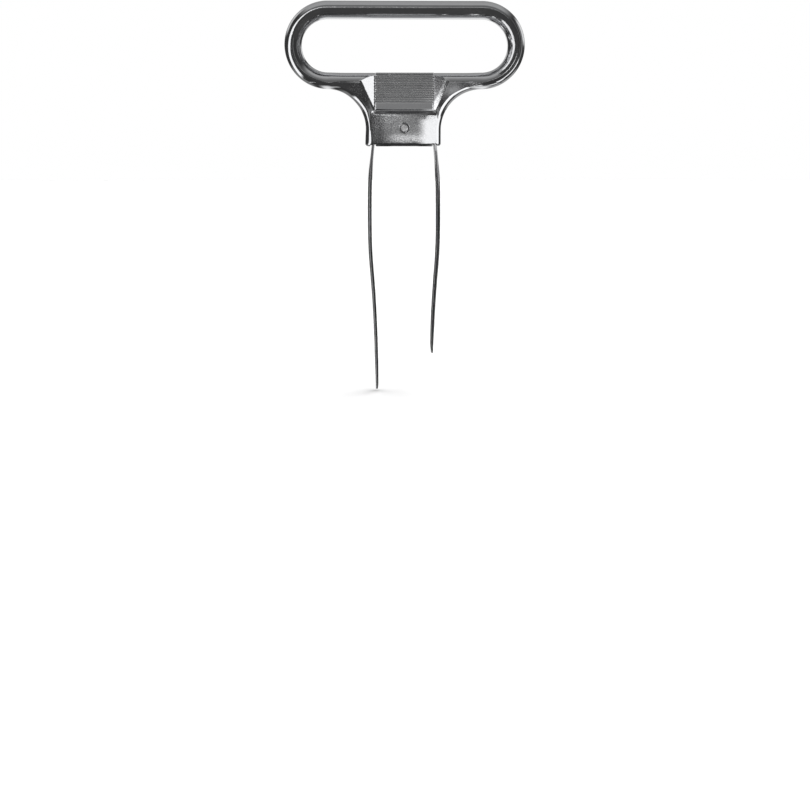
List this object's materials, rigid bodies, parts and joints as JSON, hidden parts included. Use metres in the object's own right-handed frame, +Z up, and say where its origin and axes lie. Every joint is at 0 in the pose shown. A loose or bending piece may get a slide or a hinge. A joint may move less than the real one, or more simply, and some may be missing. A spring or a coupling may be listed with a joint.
{
  "type": "two-blade cork puller",
  "caption": "Cork puller with an oval finger loop and ribbed pad in a plated casting, and thin sprung blades, long and short, that slide down beside a cork.",
  "frame": {"origin": "middle of the collar's underside, the face that comes down on the bottle's mouth", "axes": "+Z up from the blades to the finger loop, X along the loop with the long blade on the -X side, Y the depth, with the front on -Y"},
  "size_m": [0.0702, 0.0152, 0.1152],
  "materials": {
    "chrome_plating": "bright chrome over a die casting, slightly uneven",
    "spring_steel": "polished spring steel with fine marks along its length",
    "spacer_steel": "bare, dull",
    "pin_steel": "peened, slightly rough"
  },
  "bodies": {
    "handle": {"handle": "chrome_plating", "tang_spacer": "spacer_steel", "cross_pin": "pin_steel"},
    "long_blade": {"long_blade": "spring_steel"},
    "short_blade": {"short_blade": "spring_steel"}
  },
  "joints": [
    {"name": "long_blade_flex", "type": "hinge", "parent": "handle", "child": "long_blade", "pos_m": [-0.009, 0, 0.002], "axis": [0, 1, 0], "range_deg": [-3, 2.5], "stiffness_Nm_per_rad": 2.45},
    {"name": "short_blade_flex", "type": "hinge", "parent": "handle", "child": "short_blade", "pos_m": [0.009, 0, 0.002], "axis": [0, -1, 0], "range_deg": [-3, 2.5], "stiffness_Nm_per_rad": 2.9}
  ]
}
